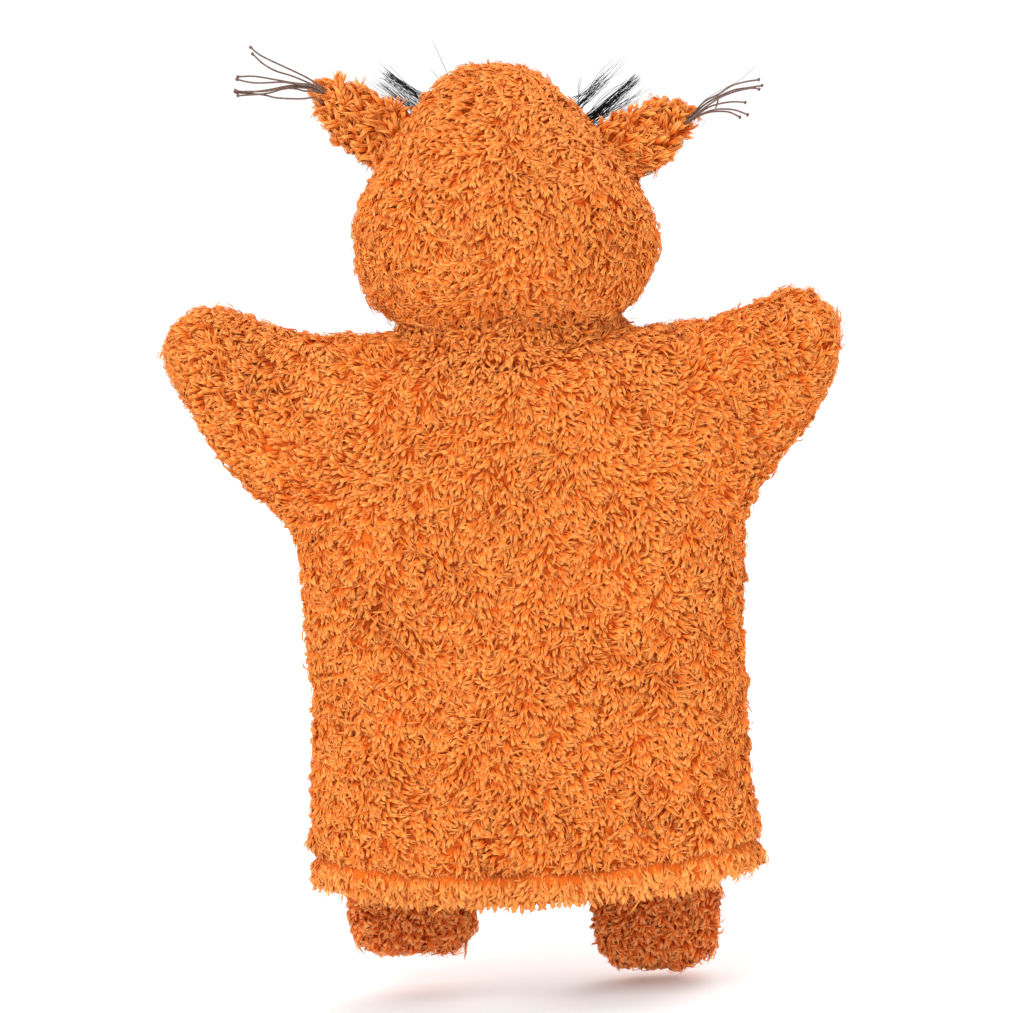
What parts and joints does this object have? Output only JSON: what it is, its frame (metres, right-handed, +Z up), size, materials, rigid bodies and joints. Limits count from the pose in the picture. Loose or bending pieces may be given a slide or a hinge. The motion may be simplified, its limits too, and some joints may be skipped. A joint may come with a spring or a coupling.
{
  "type": "hand puppet",
  "caption": "Furry animal glove puppet in curly plush: open sleeve body with finger pockets in the arms, stuffed head on a finger tube, leaf ears with thread tufts, hanging feet.",
  "frame": {"origin": "centre of the hand opening, in the plane of the lowest edge of the hem", "axes": "+Z up along the sleeve towards the head; the face looks along -Y; +X is the puppet's left"},
  "size_m": [0.224, 0.0944, 0.3193],
  "materials": {
    "plush": "curly orange pile plush",
    "foot_plush": "dark burnt orange pile plush",
    "cream_felt": "short cream plush",
    "lining": "knitted cotton lining",
    "stuffing": "loose wool stuffing",
    "tube_board": "rolled grey board",
    "nose_cloth": "dark brown velvet",
    "eye_plastic": "polished black",
    "washer_plastic": "plain white",
    "waxed_thread": "waxed brown thread",
    "long_hair": "long straight black pile",
    "sewing_thread": "orange sewing thread",
    "dark_thread": "dark embroidery thread"
  },
  "bodies": {
    "skirt": {"skirt_back_panel": "plush", "skirt_front_panel": "plush", "skirt_lining": "lining", "hem_band": "plush", "hem_stitching": "sewing_thread"},
    "torso": {"torso_back_panel": "plush", "torso_front_panel": "plush", "torso_lining": "lining"},
    "neck": {"neck_gather": "lining", "neck_thread": "sewing_thread"},
    "head": {"head_back_panel": "plush", "head_face_panel": "plush", "head_stuffing": "stuffing", "finger_tube": "tube_board", "muzzle": "cream_felt", "nose": "nose_cloth", "mouth_stitch": "dark_thread", "left_eye": "eye_plastic", "right_eye": "eye_plastic", "left_eye_washer": "washer_plastic", "right_eye_washer": "washer_plastic", "left_hair_tuft": "long_hair", "right_hair_tuft": "long_hair"},
    "left_shoulder": {"left_shoulder_cuff": "lining"},
    "left_arm": {"left_arm_back_panel": "plush", "left_arm_front_panel": "plush", "left_arm_lining": "lining"},
    "left_ear": {"left_ear_back": "plush", "left_ear_front": "cream_felt", "left_ear_threads": "waxed_thread"},
    "left_foot": {"left_foot_cover": "foot_plush", "left_foot_stuffing": "stuffing"},
    "right_shoulder": {"right_shoulder_cuff": "lining"},
    "right_arm": {"right_arm_back_panel": "plush", "right_arm_front_panel": "plush", "right_arm_lining": "lining"},
    "right_ear": {"right_ear_back": "plush", "right_ear_front": "cream_felt", "right_ear_threads": "waxed_thread"},
    "right_foot": {"right_foot_cover": "foot_plush", "right_foot_stuffing": "stuffing"}
  },
  "joints": [
    {"name": "waist_bow", "type": "hinge", "parent": "skirt", "child": "torso", "pos_m": [0, 0, 0.072], "axis": [1, 0, 0], "range_deg": [-15, 35]},
    {"name": "head_turn", "type": "hinge", "parent": "torso", "child": "neck", "pos_m": [0, 0, 0.1855], "axis": [0, 0, 1], "range_deg": [-50, 50]},
    {"name": "head_nod", "type": "hinge", "parent": "neck", "child": "head", "pos_m": [0, 0, 0.1915], "axis": [1, 0, 0], "range_deg": [-15, 15]},
    {"name": "left_arm_raise", "type": "hinge", "parent": "torso", "child": "left_shoulder", "pos_m": [0.066, 0, 0.158], "axis": [0, -1, 0], "range_deg": [-35, 25]},
    {"name": "left_arm_clap", "type": "hinge", "parent": "left_shoulder", "child": "left_arm", "pos_m": [0.066, 0, 0.158], "axis": [0, 0, -1], "range_deg": [-10, 50]},
    {"name": "left_foot_swing", "type": "hinge", "parent": "skirt", "child": "left_foot", "pos_m": [0.042, -0.0286, 0.0006], "axis": [-1, 0, 0], "range_deg": [-12, 80]},
    {"name": "left_ear_flop", "type": "hinge", "parent": "head", "child": "left_ear", "pos_m": [0.03481, 0.001, 0.25163], "axis": [-0.5736, 0, 0.8192], "range_deg": [-25, 25], "stiffness_Nm_per_rad": 0.01},
    {"name": "right_arm_raise", "type": "hinge", "parent": "torso", "child": "right_shoulder", "pos_m": [-0.066, 0, 0.158], "axis": [0, 1, 0], "range_deg": [-35, 25]},
    {"name": "right_arm_clap", "type": "hinge", "parent": "right_shoulder", "child": "right_arm", "pos_m": [-0.066, 0, 0.158], "axis": [0, 0, 1], "range_deg": [-10, 50]},
    {"name": "right_foot_swing", "type": "hinge", "parent": "skirt", "child": "right_foot", "pos_m": [-0.041, -0.0286, 0.0006], "axis": [-1, 0, 0], "range_deg": [-12, 80]},
    {"name": "right_ear_flop", "type": "hinge", "parent": "head", "child": "right_ear", "pos_m": [-0.03891, 0.001, 0.24519], "axis": [0.4226, 0, 0.9063], "range_deg": [-25, 25], "stiffness_Nm_per_rad": 0.01}
  ]
}
